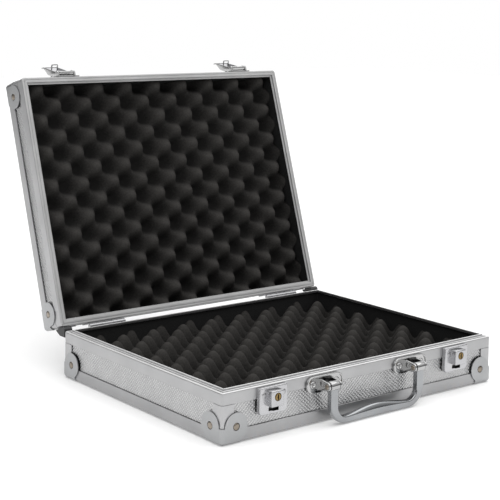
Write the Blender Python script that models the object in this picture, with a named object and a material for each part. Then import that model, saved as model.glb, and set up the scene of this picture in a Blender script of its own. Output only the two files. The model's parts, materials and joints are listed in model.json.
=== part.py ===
"""Foam-lined aluminium attache case: an open, jointed assembly.

Model frame: metres, +X to the right, +Y to the back, +Z up. The case stands on its four lower
corner pieces at Z = 0, centred left to right. Front to back, the origin is the middle of the whole
object as it stands open.

The two shells are alike, so both are built in "shell coordinates": the outer skin lies at Z = 0
and the rim, where the shells meet, is on top at the shell's height. The lid's shell frame is
turned over and hangs on the hinge axis. Left and right in the parts' names are always those of
the whole case, seen from the handle.
"""

import math

import bmesh
import bpy
from mathutils import Matrix, Vector

# ---------------------------------------------------------------- driving dimensions (metres)
CASE_WIDTH = 0.460
CASE_DEPTH = 0.350
BASE_HEIGHT = 0.063
LID_HEIGHT = 0.050
LID_OPEN = math.radians(108)
GAP = 0.0003                     # clearance between touching pieces

# Casing: depths are measured inwards from the extrusions' outer faces
SKIN = 0.0012                    # wall of the extrusions and corner pieces
FOOT = 0.0015                    # how far the corner pieces stand proud of the extrusions
PANEL_DEPTH = 0.0015
PANEL_THICKNESS = 0.0035
EDGE_FACE = 0.0152               # face width of the outer edge extrusion
RIM_FACE = 0.015                 # face height of the rim extrusion
RIM_WIDTH = 0.010
RIM_HALF_GAP = 0.00015           # half the clearance between the closed rims
TONGUE_WIDTH = 0.0022
TONGUE_HEIGHT = 0.0025
SLOT_TOP = -0.0024               # top of the slot that the rim's panels enter
POST_LEG = 0.018
EDGE_ROUND = 0.0021              # rounding of the extrusions' outer edges
CORNER_REACH = 0.0206            # corner rivet's distance from the outer faces
EAR_RADIUS = 0.017
CORNER_ROUND = EDGE_ROUND + FOOT
CORNER_FOOT_REACH = 0.031

CORNER_RIVET = 0.0043            # radius of a corner rivet's head
RIVET_HEIGHT = 0.0012

# Foam
FOAM_INSET = 0.007
BASE_FOAM_TOP = 0.054
LID_FOAM_TOP = 0.041

# Lid hinges
HINGE_OUT = 0.0047               # hinge axis behind the back face
HINGE_X = 0.158
HINGE_WIDTH = 0.058
HINGE_MIDDLE = 0.018             # width of the base leaf's knuckle
LEAF_LOW = 0.002
LEAF_HIGH = 0.018
LEAF_THICKNESS = 0.0018
KNUCKLE_RADIUS = 0.0029
PIN_RADIUS = 0.0012

# Lid rests
REST_WIDTH = 0.0125
REST_INSET = 0.0005

# Locks
LOCK_X = 0.157
LOCK_WIDTH = 0.0428
LOCK_LOW = 0.028
LOCK_HIGH = 0.061
LOCK_PROUD = 0.0055
LOCK_WALL = 0.001
KEY_BOX_WIDTH = 0.019
KEY_BOX_LOW = 0.0385
KEY_BOX_HIGH = 0.056
KEY_BOX_PROUD = 0.0135
KEY_Z = 0.050
PLUG_RADIUS = 0.0045
LOCK_RIVET = 0.0038
LOCK_RIVET_X = 0.0145
LOCK_RIVET_Z = 0.052
SLOT_WIDTH = 0.0145
SLOT_HEIGHT = 0.004
SLOT_Z = 0.0343
CAM_LENGTH = 0.018
CAM_REST = math.radians(15)      # unlocked cam's angle below the horizontal

# Hasps on the lid
HASP_OPEN = math.radians(154)     # where the cover comes to rest on its own plate
HASP_AXIS_UP = 0.002             # axis above the closed rim plane
HASP_AXIS_OUT = 0.0065           # axis ahead of the front face
HASP_WIDTH = 0.023
HASP_WALL = 0.0012
HASP_PIN_RADIUS = 0.0011
HASP_PLATE_WIDTH = 0.046
HASP_PLATE_LOW = 0.001
HASP_PLATE_HIGH = 0.022
STAPLE_WIDTH = 0.011
STAPLE_WIRE = 0.0014

# Handle
HANDLE_X = 0.0735                # arm centres
PIVOT_Z = 0.050
PIVOT_OUT = 0.0175               # pivot ahead of the front face
HANDLE_DROP = 0.049              # pivot to the outer edge of the grip
ARM_WIDTH = 0.0118
ARM_THICKNESS = 0.0088
BARREL_RADIUS = 0.006
BARREL_WIDTH = 0.0135
GRIP_HEIGHT = 0.012
GRIP_ARCH = 0.0022
BRACKET_LENGTH = 0.059
BRACKET_HEIGHT = 0.021
BRACKET_THICKNESS = 0.0032
BRACKET_RIVET = 0.0048
BRACKET_RIVET_X = 0.0185
FORK_WALL = 0.0034
FORK_RADIUS = 0.0055
HANDLE_PIN_RADIUS = 0.002

FRONT = -CASE_DEPTH / 2
BACK = CASE_DEPTH / 2
ROUND = 24                       # sides of a round piece

# ---------------------------------------------------------------- scene and materials
for old in list(bpy.data.objects):
    bpy.data.objects.remove(old, do_unlink=True)

parts = bpy.data.collections.new("aluminium_case")
bpy.context.scene.collection.children.link(parts)
cutters = bpy.data.collections.new("cutters")
bpy.context.scene.collection.children.link(cutters)


def make_material(name, colour, metallic, roughness):
    """Return a Principled material."""
    material = bpy.data.materials.new(name)
    material.use_nodes = True
    shader = material.node_tree.nodes["Principled BSDF"]
    shader.inputs["Base Color"].default_value = (*colour, 1.0)
    shader.inputs["Metallic"].default_value = metallic
    shader.inputs["Roughness"].default_value = roughness
    return material


ALUMINIUM = make_material("satin_aluminium", (0.72, 0.72, 0.73), 1.0, 0.42)
PANEL = make_material("chequered_panel", (0.66, 0.66, 0.67), 0.6, 0.5)
STEEL = make_material("plated_steel", (0.70, 0.70, 0.70), 1.0, 0.3)
CHROME = make_material("chrome", (0.82, 0.82, 0.83), 1.0, 0.12)
BRASS = make_material("brass", (0.62, 0.47, 0.24), 1.0, 0.3)
FOAM = make_material("charcoal_foam", (0.030, 0.030, 0.029), 0.0, 0.95)
BLACK_PLASTIC = make_material("black_plastic", (0.02, 0.02, 0.02), 0.0, 0.4)


# ---------------------------------------------------------------- modelling helpers
def make_frame(name, parent=None, location=(0, 0, 0), rotation=(0, 0, 0)):
    """Return an empty that places a group of parts."""
    frame = bpy.data.objects.new(name, None)
    frame.empty_display_size = 0.02
    frame.parent = parent
    frame.location = location
    frame.rotation_euler = rotation
    parts.objects.link(frame)
    return frame


def make_part(name, mesh, material, parent, location=(0, 0, 0), rotation=(0, 0, 0)):
    """Return a named part that shows a mesh at a place in its parent's frame."""
    if not mesh.materials:
        mesh.materials.append(material)
    part = bpy.data.objects.new(name, mesh)
    part.parent = parent
    part.location = location
    part.rotation_euler = rotation
    parts.objects.link(part)
    return part


def box_mesh(low, high):
    """Return a box between two corners."""
    low = Vector(low)
    high = Vector(high)
    shape = bmesh.new()
    bmesh.ops.create_cube(shape, size=1.0)
    bmesh.ops.scale(shape, vec=high - low, verts=shape.verts)
    bmesh.ops.translate(shape, vec=(low + high) / 2, verts=shape.verts)
    mesh = bpy.data.meshes.new("box")
    shape.to_mesh(mesh)
    shape.free()
    return mesh


def cylinder_mesh(radius, start, end, sides=ROUND):
    """Return a cylinder between two points."""
    start = Vector(start)
    end = Vector(end)
    shape = bmesh.new()
    bmesh.ops.create_cone(shape, cap_ends=True, segments=sides, radius1=radius, radius2=radius,
                          depth=(end - start).length)
    turn = Vector((0, 0, 1)).rotation_difference(end - start).to_matrix().to_4x4()
    bmesh.ops.transform(shape, matrix=Matrix.Translation((start + end) / 2) @ turn,
                        verts=shape.verts)
    mesh = bpy.data.meshes.new("cylinder")
    shape.to_mesh(mesh)
    shape.free()
    return mesh


def rivet_mesh(radius, face, outwards):
    """Return a rivet head that stands on a face and sinks a little into it."""
    outwards = Vector(outwards)
    sunk = 0.0004
    shape = bmesh.new()
    bmesh.ops.create_cone(shape, cap_ends=True, segments=12, radius1=radius, radius2=0.55 * radius,
                          depth=RIVET_HEIGHT + sunk)
    turn = Vector((0, 0, 1)).rotation_difference(outwards).to_matrix().to_4x4()
    middle = Vector(face) + outwards * (RIVET_HEIGHT - sunk) / 2
    bmesh.ops.transform(shape, matrix=Matrix.Translation(middle) @ turn, verts=shape.verts)
    mesh = bpy.data.meshes.new("rivet")
    shape.to_mesh(mesh)
    shape.free()
    return mesh


def outline_mesh(points, thickness):
    """Return a flat outline in XY, thickened along Z about its own plane."""
    curve = bpy.data.curves.new("outline", "CURVE")
    curve.dimensions = "2D"
    curve.fill_mode = "BOTH"
    curve.extrude = thickness / 2
    spline = curve.splines.new("POLY")
    spline.points.add(len(points) - 1)
    for point, (x, y) in zip(spline.points, points):
        point.co = (x, y, 0, 1)
    spline.use_cyclic_u = True
    holder = bpy.data.objects.new("outline", curve)
    cutters.objects.link(holder)
    depsgraph = bpy.context.evaluated_depsgraph_get()
    mesh = bpy.data.meshes.new_from_object(holder.evaluated_get(depsgraph))
    bpy.data.objects.remove(holder, do_unlink=True)
    bpy.data.curves.remove(curve)
    shape = bmesh.new()
    shape.from_mesh(mesh)
    bmesh.ops.remove_doubles(shape, verts=shape.verts, dist=1e-6)
    bmesh.ops.recalc_face_normals(shape, faces=shape.faces)
    shape.to_mesh(mesh)
    shape.free()
    mesh.materials.clear()
    return mesh


# Turn an outline drawn in XY and thickened along Z
ALONG_X = Matrix(((0, 0, 1, 0), (1, 0, 0, 0), (0, 1, 0, 0), (0, 0, 0, 1)))    # outline in YZ
ALONG_Y = Matrix(((1, 0, 0, 0), (0, 0, -1, 0), (0, 1, 0, 0), (0, 0, 0, 1)))   # outline in XZ


def turned(mesh, matrix):
    """Return the mesh after a transform."""
    mesh.transform(matrix)
    return mesh


def combine(mesh, other, operation):
    """Return the Boolean of two meshes. Both operands are removed afterwards."""
    holder = bpy.data.objects.new("target", mesh)
    cutter = bpy.data.objects.new("cutter", other)
    for used in (holder, cutter):
        used.hide_render = True
        used.display_type = "WIRE"
        cutters.objects.link(used)
    modifier = holder.modifiers.new("combine", "BOOLEAN")
    modifier.object = cutter
    modifier.operation = operation
    depsgraph = bpy.context.evaluated_depsgraph_get()
    result = bpy.data.meshes.new_from_object(holder.evaluated_get(depsgraph))
    for used in (holder, cutter):
        bpy.data.objects.remove(used, do_unlink=True)
    return result


def joined(first, *others):
    """Return the union of several meshes."""
    for other in others:
        first = combine(first, other, "UNION")
    return first


def cut(first, *others):
    """Return a mesh with others cut away."""
    for other in others:
        first = combine(first, other, "DIFFERENCE")
    return first


def bevelled(mesh, width, segments, keep_edge):
    """Return the mesh with the edges that keep_edge picks rounded."""
    shape = bmesh.new()
    shape.from_mesh(mesh)
    edges = [edge for edge in shape.edges if keep_edge(edge)]
    bmesh.ops.bevel(shape, geom=edges, offset=width, segments=segments, profile=0.5,
                    affect="EDGES", clamp_overlap=True)
    shape.to_mesh(mesh)
    shape.free()
    return mesh


def smooth(part, angle=35):
    """Shade a round part smooth, with its real edges kept sharp."""
    part.data.shade_smooth()
    part.data.set_sharp_from_angle(angle=math.radians(angle))


def arc(centre, radius, start, end, steps):
    """Return points on an arc, with the angles in degrees."""
    points = []
    for step in range(steps + 1):
        angle = math.radians(start + (end - start) * step / steps)
        points.append((centre[0] + radius * math.cos(angle), centre[1] + radius * math.sin(angle)))
    return points


# ---------------------------------------------------------------- frames
case = make_frame("case_frame")
base_frame = make_frame("base_frame", case)
lid_pivot = make_frame("lid_pivot", case, (0, BACK + HINGE_OUT, BASE_HEIGHT), (-LID_OPEN, 0, 0))
lid_closed = make_frame("lid_closed", lid_pivot, (0, -BACK - HINGE_OUT, 0))
lid_shell = make_frame("lid_shell", lid_closed, (0, 0, LID_HEIGHT), (0, math.pi, 0))


# ---------------------------------------------------------------- casing pieces
def rim_outline(with_tongue):
    """Return the rim's section: inward depth against height above the closed rim plane."""
    top = -RIM_HALF_GAP
    slot_inner = 0.0054
    flange = slot_inner + SKIN
    flange_foot = -0.012
    points = [(0, -RIM_FACE), (0, top)]
    if with_tongue:
        tongue = RIM_WIDTH - TONGUE_WIDTH
        groove = 0.0052
        points += [(groove, top), (groove, top - 0.001), (groove + 0.001, top - 0.001),
                   (groove + 0.001, top), (tongue, top), (tongue, top + TONGUE_HEIGHT),
                   (RIM_WIDTH, top + TONGUE_HEIGHT), (RIM_WIDTH, -0.0016), (flange, -0.0016)]
    else:
        recess = RIM_WIDTH - TONGUE_WIDTH - 0.0004
        floor = top - TONGUE_HEIGHT - 0.00045
        points += [(recess, top), (recess, floor), (RIM_WIDTH, floor),
                   (RIM_WIDTH, floor - 0.0014), (flange, floor - 0.0014)]
    points += [(flange, flange_foot), (slot_inner, flange_foot), (slot_inner, SLOT_TOP),
               (SKIN, SLOT_TOP), (SKIN, -RIM_FACE)]
    return points


def rim_mesh(length, with_tongue):
    """Return a length of rim extrusion along X, mitred at both ends, outer face towards -Y."""
    mesh = turned(outline_mesh(rim_outline(with_tongue), length), ALONG_X)
    for vertex in mesh.vertices:
        vertex.co.x -= math.copysign(vertex.co.y, vertex.co.x)
    return mesh


def edge_mesh():
    """Return the L-section edge extrusion, mitred and riveted into one ring."""
    ring = box_mesh((-CASE_WIDTH / 2, FRONT, FOOT), (CASE_WIDTH / 2, BACK, FOOT + EDGE_FACE))
    ring = bevelled(ring, EDGE_ROUND, 3, lambda edge: any(v.co.z < 0.01 for v in edge.verts))
    room = box_mesh((-CASE_WIDTH / 2 + SKIN, FRONT + SKIN, FOOT + SKIN),
                    (CASE_WIDTH / 2 - SKIN, BACK - SKIN, FOOT + EDGE_FACE + SKIN))
    window = box_mesh((-CASE_WIDTH / 2 + EDGE_FACE, FRONT + EDGE_FACE, 0),
                      (CASE_WIDTH / 2 - EDGE_FACE, BACK - EDGE_FACE, 2 * FOOT + SKIN))
    return cut(ring, room, window)


def post_mesh(low, high):
    """Return a rounded corner post along Z, its corner at the origin, its legs along +X and +Y."""
    outline = [(0, POST_LEG)]
    outline += arc((EDGE_ROUND, EDGE_ROUND), EDGE_ROUND, 180, 270, 4)
    outline += [(POST_LEG, 0), (POST_LEG, SKIN), (SKIN, SKIN), (SKIN, POST_LEG)]
    return turned(outline_mesh(outline, high - low), Matrix.Translation((0, 0, (low + high) / 2)))


def corner_mesh():
    """Return a pressed corner piece with three round ears, its outer corner at the origin."""
    size = 0.045

    def meets_corner(edge):
        """Pick the three edges that run from the outer corner."""
        return any(vertex.co.length < 1e-5 for vertex in edge.verts)

    outer = bevelled(box_mesh((0, 0, 0), (size, size, size)), CORNER_ROUND, 3, meets_corner)
    inner = box_mesh((0, 0, 0), (size, size, size))
    inner = bevelled(inner, CORNER_ROUND - SKIN, 3, meets_corner)
    inner = turned(inner, Matrix.Translation((SKIN, SKIN, SKIN)))
    across = CORNER_REACH + FOOT
    up = CORNER_REACH
    reach = EAR_RADIUS / 2
    keep = joined(
        box_mesh((-GAP, -GAP, -GAP), (across, across, up)),
        box_mesh((-GAP, -GAP, -GAP), (CORNER_FOOT_REACH, reach, reach)),
        box_mesh((-GAP, -GAP, -GAP), (reach, CORNER_FOOT_REACH, reach)),
        cylinder_mesh(EAR_RADIUS, (across, -GAP, up), (across, reach, up)),
        cylinder_mesh(EAR_RADIUS, (-GAP, across, up), (reach, across, up)),
        cylinder_mesh(EAR_RADIUS, (across, across, -GAP), (across, across, reach)),
    )
    piece = combine(cut(outer, inner), keep, "INTERSECT")
    return joined(piece, rivet_mesh(CORNER_RIVET, (across, 0, up), (0, -1, 0)),
                  rivet_mesh(CORNER_RIVET, (0, across, up), (-1, 0, 0)))


SIDES = (("front", 0), ("right", 90), ("back", 180), ("left", 270))
CORNERS = (("front_left", -1, -1, 0), ("front_right", 1, -1, 90),
           ("back_right", 1, 1, 180), ("back_left", -1, 1, 270))
OTHER_HAND = {"left": "right", "right": "left"}
corner_shape = corner_mesh()
edge_shape = edge_mesh()


def part_name(shell, kind, place):
    """Return a part's name. The lid's shell frame is turned over, so its left is the case's right."""
    words = place.split("_")
    if shell == "lid":
        words = [OTHER_HAND.get(word, word) for word in words]
    return "_".join([shell, kind] + words)


def build_shell(name, frame, height, with_tongue, foam_top):
    """Build one shell: rims, panels, posts, edge ring, corner pieces and foam."""
    rim_shapes = {CASE_WIDTH: rim_mesh(CASE_WIDTH, with_tongue),
                  CASE_DEPTH: rim_mesh(CASE_DEPTH, with_tongue)}
    floor = FOOT + SKIN + GAP
    wall_low = floor + PANEL_THICKNESS + GAP
    wall_high = height + SLOT_TOP - GAP
    for side, angle in SIDES:
        if side in ("front", "back"):
            length, away = CASE_WIDTH, CASE_DEPTH
        else:
            length, away = CASE_DEPTH, CASE_WIDTH
        turn = Matrix.Rotation(math.radians(angle), 3, "Z")
        place = turn @ Vector((0, -away / 2, height))
        rotation = (0, 0, math.radians(angle))
        make_part(part_name(name, "rim", side), rim_shapes[length], ALUMINIUM, frame, place, rotation)
        half = length / 2 - PANEL_DEPTH
        if side in ("left", "right"):
            half -= PANEL_THICKNESS + GAP
        wall = box_mesh((-half, PANEL_DEPTH, wall_low),
                        (half, PANEL_DEPTH + PANEL_THICKNESS, wall_high))
        make_part(part_name(name, "panel", side), wall, PANEL, frame, (place.x, place.y, 0), rotation)
    inside = Vector((CASE_WIDTH / 2 - PANEL_DEPTH, CASE_DEPTH / 2 - PANEL_DEPTH))
    sheet = box_mesh((-inside.x, -inside.y, floor), (inside.x, inside.y, floor + PANEL_THICKNESS))
    make_part(f"{name}_panel_outer", sheet, PANEL, frame)
    make_part(f"{name}_edge_extrusion", edge_shape, ALUMINIUM, frame)
    post = post_mesh(FOOT + EDGE_FACE + GAP, height - RIM_FACE - GAP)
    for corner, side_x, side_y, angle in CORNERS:
        rotation = (0, 0, math.radians(angle))
        place = (side_x * CASE_WIDTH / 2, side_y * CASE_DEPTH / 2, 0)
        smooth(make_part(part_name(name, "post", corner), post, ALUMINIUM, frame, place, rotation))
        place = (side_x * (CASE_WIDTH / 2 + FOOT), side_y * (CASE_DEPTH / 2 + FOOT), 0)
        smooth(make_part(part_name(name, "corner", corner), corner_shape, STEEL, frame, place,
                         rotation))
    half = Vector((CASE_WIDTH / 2 - FOAM_INSET, CASE_DEPTH / 2 - FOAM_INSET))
    foam = box_mesh((-half.x, -half.y, wall_low), (half.x, half.y, foam_top))
    make_part(f"{name}_foam", foam, FOAM, frame)


build_shell("base", base_frame, BASE_HEIGHT, True, BASE_FOAM_TOP)
build_shell("lid", lid_shell, LID_HEIGHT, False, LID_FOAM_TOP)


# ---------------------------------------------------------------- lid hinges
def knuckle_mesh(start, end):
    """Return one knuckle about the X axis, with the web that joins it to a leaf below it."""
    barrel = cylinder_mesh(KNUCKLE_RADIUS, (start, 0, 0), (end, 0, 0))
    web = box_mesh((start, GAP - HINGE_OUT, -LEAF_LOW - GAP),
                   (end, GAP - HINGE_OUT + LEAF_THICKNESS, -GAP))
    return joined(barrel, web)


def leaf_mesh(knuckles):
    """Return a hinge leaf that hangs below the X axis, against the shell's back face."""
    half = HINGE_WIDTH / 2
    leaf = box_mesh((-half, GAP - HINGE_OUT, -LEAF_HIGH),
                    (half, GAP - HINGE_OUT + LEAF_THICKNESS, -LEAF_LOW))
    leaf = joined(leaf, *[knuckle_mesh(start, end) for start, end in knuckles])
    return cut(leaf, cylinder_mesh(PIN_RADIUS + GAP, (-half - GAP, 0, 0), (half + GAP, 0, 0), 16))


middle = HINGE_MIDDLE / 2
base_leaf = leaf_mesh([(-middle, middle)])
lid_leaf = leaf_mesh([(-HINGE_WIDTH / 2, -middle - GAP), (middle + GAP, HINGE_WIDTH / 2)])
hinge_pin = cylinder_mesh(PIN_RADIUS, (-HINGE_WIDTH / 2, 0, 0), (HINGE_WIDTH / 2, 0, 0), 16)
for side, sign in (("left", -1), ("right", 1)):
    spot = (sign * HINGE_X, BACK + HINGE_OUT, BASE_HEIGHT)
    smooth(make_part(f"hinge_base_leaf_{side}", base_leaf, STEEL, base_frame, spot))
    smooth(make_part(f"hinge_pin_{side}", hinge_pin, STEEL, base_frame, spot))
    smooth(make_part(f"hinge_lid_leaf_{side}", lid_leaf, STEEL, lid_shell,
                     (-sign * HINGE_X, BACK + HINGE_OUT, LID_HEIGHT)))


# ---------------------------------------------------------------- lid rests
def rest_outline():
    """Return the rest's section, behind and above the hinge axis. The open lid lies on its top."""
    radius = HINGE_OUT - GAP
    top = arc((0, 0), radius, 180, 180 - math.degrees(LID_OPEN), 6)
    touch = Vector(top[-1])
    along = Vector((math.sin(LID_OPEN), math.cos(LID_OPEN)))
    seat = touch + along * 0.0116
    step = seat - Vector((0, 0.0019))
    tail = step + along * 0.0053
    low = -0.009
    return [(-radius, low)] + top + [tuple(seat), tuple(step), tuple(tail),
                                     (tail.x, tail.y - 0.0013), (tail.x - 0.0095, low)]


rest_shape = turned(outline_mesh(rest_outline(), REST_WIDTH), ALONG_X)
for side, sign in (("left", -1), ("right", 1)):
    spot = (sign * (CASE_WIDTH / 2 - REST_INSET - REST_WIDTH / 2), BACK + HINGE_OUT, BASE_HEIGHT)
    make_part(f"lid_rest_{side}", rest_shape, BLACK_PLASTIC, base_frame, spot)


# ---------------------------------------------------------------- locks on the base
def lock_mesh():
    """Return a lock case about X = 0: the front face is Y = 0 and outwards is -Y."""
    half = LOCK_WIDTH / 2
    corner = 0.005
    outline = [(-half, LOCK_HIGH)]
    outline += arc((corner - half, LOCK_LOW + corner), corner, 180, 270, 5)
    outline += arc((half - corner, LOCK_LOW + corner), corner, 270, 360, 5)
    outline += [(half, LOCK_HIGH)]
    plate = turned(outline_mesh(outline, LOCK_PROUD - GAP), ALONG_Y)
    plate = turned(plate, Matrix.Translation((0, -(LOCK_PROUD + GAP) / 2, 0)))
    box_half = KEY_BOX_WIDTH / 2
    key_box = box_mesh((-box_half, -KEY_BOX_PROUD, KEY_BOX_LOW), (box_half, -0.003, KEY_BOX_HIGH))
    key_box = bevelled(key_box, 0.0012, 2,
                       lambda edge: all(v.co.y < -0.01 for v in edge.verts)
                       or abs(edge.verts[0].co.y - edge.verts[1].co.y) > 0.005)
    wall = LOCK_WALL
    hollow = box_mesh((wall - half, wall - LOCK_PROUD, LOCK_LOW + wall),
                      (half - wall, GAP, LOCK_HIGH - wall))
    hollow = bevelled(hollow, corner - wall, 3,
                      lambda edge: all(v.co.z < 0.04 for v in edge.verts)
                      and abs(edge.verts[0].co.y - edge.verts[1].co.y) > 0.003)
    room = box_mesh((wall - box_half, 0.0012 - KEY_BOX_PROUD, KEY_BOX_LOW + wall),
                    (box_half - wall, -0.002, KEY_BOX_HIGH - wall))
    slot = box_mesh((-SLOT_WIDTH / 2, -LOCK_PROUD - GAP, SLOT_Z - SLOT_HEIGHT / 2),
                    (SLOT_WIDTH / 2, -0.002, SLOT_Z + SLOT_HEIGHT / 2))
    bore = cylinder_mesh(PLUG_RADIUS + GAP, (0, -KEY_BOX_PROUD - GAP, KEY_Z), (0, -0.008, KEY_Z))
    lock = cut(joined(plate, key_box), hollow, room, slot, bore)
    return joined(lock, *[rivet_mesh(LOCK_RIVET, (x, -LOCK_PROUD, LOCK_RIVET_Z), (0, -1, 0))
                          for x in (-LOCK_RIVET_X, LOCK_RIVET_X)])


def plug_mesh():
    """Return a key plug with its cam, about the Y axis. The key enters from -Y."""
    body = cylinder_mesh(PLUG_RADIUS, (0, -KEY_BOX_PROUD - 0.0005, 0), (0, -0.0085, 0))
    tail = cylinder_mesh(0.0022, (0, -0.009, 0), (0, -0.003, 0), 12)
    cam = box_mesh((-0.0035, -0.0038, -0.002), (CAM_LENGTH, -0.0026, 0.002))
    cam = turned(cam, Matrix.Rotation(CAM_REST, 4, "Y"))
    keyway = box_mesh((-0.0008, -0.02, -0.0032), (0.0008, -0.0115, 0.0032))
    return cut(joined(body, tail, cam), keyway)


lock_shape = lock_mesh()
plug_shape = plug_mesh()


# ---------------------------------------------------------------- hasps on the lid
def hasp_plate_mesh():
    """Return the hasp's plate, its two ears and the pin, about the hasp axis at the origin."""
    half = HASP_PLATE_WIDTH / 2
    face = HASP_AXIS_OUT - GAP
    plate = box_mesh((-half, face - 0.0015, HASP_PLATE_LOW - HASP_AXIS_UP),
                     (half, face, HASP_PLATE_HIGH - HASP_AXIS_UP))
    radius = 0.0026
    ears = []
    for sign in (-1, 1):
        near = sign * (HASP_WIDTH / 2 + 0.0005)
        far = near + sign * 0.003
        ears.append(cylinder_mesh(radius, (near, 0, 0), (far, 0, 0)))
        ears.append(box_mesh((min(near, far), 0, -radius), (max(near, far), face - 0.0005, radius)))
    pin = cylinder_mesh(HASP_PIN_RADIUS, (-HASP_WIDTH / 2 - 0.0045, 0, 0),
                        (HASP_WIDTH / 2 + 0.0045, 0, 0), 16)
    return joined(plate, *ears, pin)


def hasp_mesh():
    """Return a pressed hasp, closed: it hangs below the X axis and its open side faces +Y."""
    inner_half = HASP_WIDTH / 2 - HASP_WALL
    outer = [(0.0026, -0.0026), (0.0026, 0.0020), (0.0, 0.0034), (-0.0032, 0.0026),
             (-0.0093, -0.0090), (-0.0093, -0.0290), (-0.0026, -0.0420), (-0.0036, -0.0480),
             (-0.0022, -0.0484), (-0.0007, -0.0425), (-0.0007, -0.0050)]
    inner = [(0.0050, 0.0016), (-0.0019, 0.0016), (-0.0081, -0.0093), (-0.0081, -0.0286),
             (-0.0016, -0.0410), (0.0050, -0.0410)]
    cover = turned(outline_mesh(outer, HASP_WIDTH), ALONG_X)
    room = turned(outline_mesh(inner, 2 * inner_half), ALONG_X)
    pin_hole = cylinder_mesh(HASP_PIN_RADIUS + GAP, (-HASP_WIDTH, 0, 0), (HASP_WIDTH, 0, 0), 16)
    key_z = KEY_Z - BASE_HEIGHT - HASP_AXIS_UP
    key_hole = cylinder_mesh(0.006, (0, -0.012, key_z), (0, -0.006, key_z))
    cover = cut(cover, room, pin_hole, key_hole)
    staple_z = SLOT_Z - BASE_HEIGHT - HASP_AXIS_UP
    half = STAPLE_WIDTH / 2
    tip = HASP_AXIS_OUT - 0.0007
    staple = box_mesh((-half, -0.0078, staple_z - 0.0008), (half, tip, staple_z + 0.0008))
    window = box_mesh((STAPLE_WIRE - half, -0.0064, staple_z - 0.002),
                      (half - STAPLE_WIRE, tip - STAPLE_WIRE, staple_z + 0.002))
    return joined(cover, cut(staple, window))


hasp_plate_shape = hasp_plate_mesh()
hasp_shape = hasp_mesh()
for side, sign in (("left", -1), ("right", 1)):
    make_part(f"lock_case_{side}", lock_shape, CHROME, base_frame, (sign * LOCK_X, FRONT, 0))
    smooth(make_part(f"key_plug_{side}", plug_shape, BRASS, base_frame,
                     (sign * LOCK_X, FRONT, KEY_Z)))
    spot = (sign * LOCK_X, FRONT - HASP_AXIS_OUT, HASP_AXIS_UP)
    smooth(make_part(f"hasp_plate_{side}", hasp_plate_shape, CHROME, lid_closed, spot))
    make_part(f"hasp_{side}", hasp_shape, CHROME, lid_closed, spot, (-HASP_OPEN, 0, 0))


# ---------------------------------------------------------------- handle
def handle_outline():
    """Return the U of the handle in XZ, with the pivot line at Z = 0."""
    outer = HANDLE_X + ARM_WIDTH / 2
    inner = HANDLE_X - ARM_WIDTH / 2
    bottom = -HANDLE_DROP
    bend = 0.026
    inner_bend = 0.013
    grip_top = bottom + GRIP_HEIGHT
    outline = [(-outer, 0)] + arc((bend - outer, bottom + bend), bend, 180, 270, 8)
    outline += arc((outer - bend, bottom + bend), bend, 270, 360, 8)
    outline += [(outer, 0), (inner, 0)]
    outline += arc((inner - inner_bend, grip_top + inner_bend), inner_bend, 360, 270, 5)
    reach = inner - inner_bend
    for step in range(1, 10):
        x = reach - 2 * reach * step / 10
        outline.append((x, grip_top + GRIP_ARCH * (1 - (x / reach) ** 2)))
    outline += arc((inner_bend - inner, grip_top + inner_bend), inner_bend, 270, 180, 5)
    outline += [(-inner, 0)]
    return outline


def handle_mesh():
    """Return the cast handle, hanging from the X axis."""
    grip = turned(outline_mesh(handle_outline(), ARM_THICKNESS), ALONG_Y)
    half = BARREL_WIDTH / 2
    for sign in (-1, 1):
        centre = sign * HANDLE_X
        grip = joined(grip, cylinder_mesh(BARREL_RADIUS, (centre - half, 0, 0), (centre + half, 0, 0)))
        grip = cut(grip, cylinder_mesh(HANDLE_PIN_RADIUS + GAP, (centre - 2 * half, 0, 0),
                                       (centre + 2 * half, 0, 0), 16))
    return grip


def bracket_mesh():
    """Return a handle bracket: a stadium plate, a fork and its pin, about the pivot line."""
    half = BRACKET_LENGTH / 2
    end = BRACKET_HEIGHT / 2
    outline = arc((half - end, 0), end, -90, 90, 8) + arc((end - half, 0), end, 90, 270, 8)
    plate = turned(outline_mesh(outline, BRACKET_THICKNESS), ALONG_Y)
    back = PIVOT_OUT - GAP
    plate = turned(plate, Matrix.Translation((0, back - BRACKET_THICKNESS / 2, 0)))
    forks = []
    for sign in (-1, 1):
        near = sign * (BARREL_WIDTH / 2 + 0.0005)
        far = near + sign * FORK_WALL
        forks.append(cylinder_mesh(FORK_RADIUS, (near, 0, 0), (far, 0, 0)))
        forks.append(box_mesh((min(near, far), 0, -FORK_RADIUS),
                              (max(near, far), back - 0.001, FORK_RADIUS)))
    reach = BARREL_WIDTH / 2 + FORK_WALL + 0.0012
    pin = cylinder_mesh(HANDLE_PIN_RADIUS, (-reach, 0, 0), (reach, 0, 0), 16)
    rivets = [rivet_mesh(BRACKET_RIVET, (x, back - BRACKET_THICKNESS, 0), (0, -1, 0))
              for x in (-BRACKET_RIVET_X, BRACKET_RIVET_X)]
    return joined(plate, *forks, pin, *rivets)


smooth(make_part("handle", handle_mesh(), CHROME, base_frame, (0, FRONT - PIVOT_OUT, PIVOT_Z)))
bracket_shape = bracket_mesh()
for side, sign in (("left", -1), ("right", 1)):
    smooth(make_part(f"handle_bracket_{side}", bracket_shape, CHROME, base_frame,
                     (sign * HANDLE_X, FRONT - PIVOT_OUT, PIVOT_Z)))


# ---------------------------------------------------------------- origin
def centre_front_to_back():
    """Move the case so that the open object's box is centred on Y = 0."""
    bpy.context.view_layer.update()
    reach = [(part.matrix_world @ vertex.co).y
             for part in parts.objects if part.type == "MESH" for vertex in part.data.vertices]
    case.location.y = -(min(reach) + max(reach)) / 2


centre_front_to_back()
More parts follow.
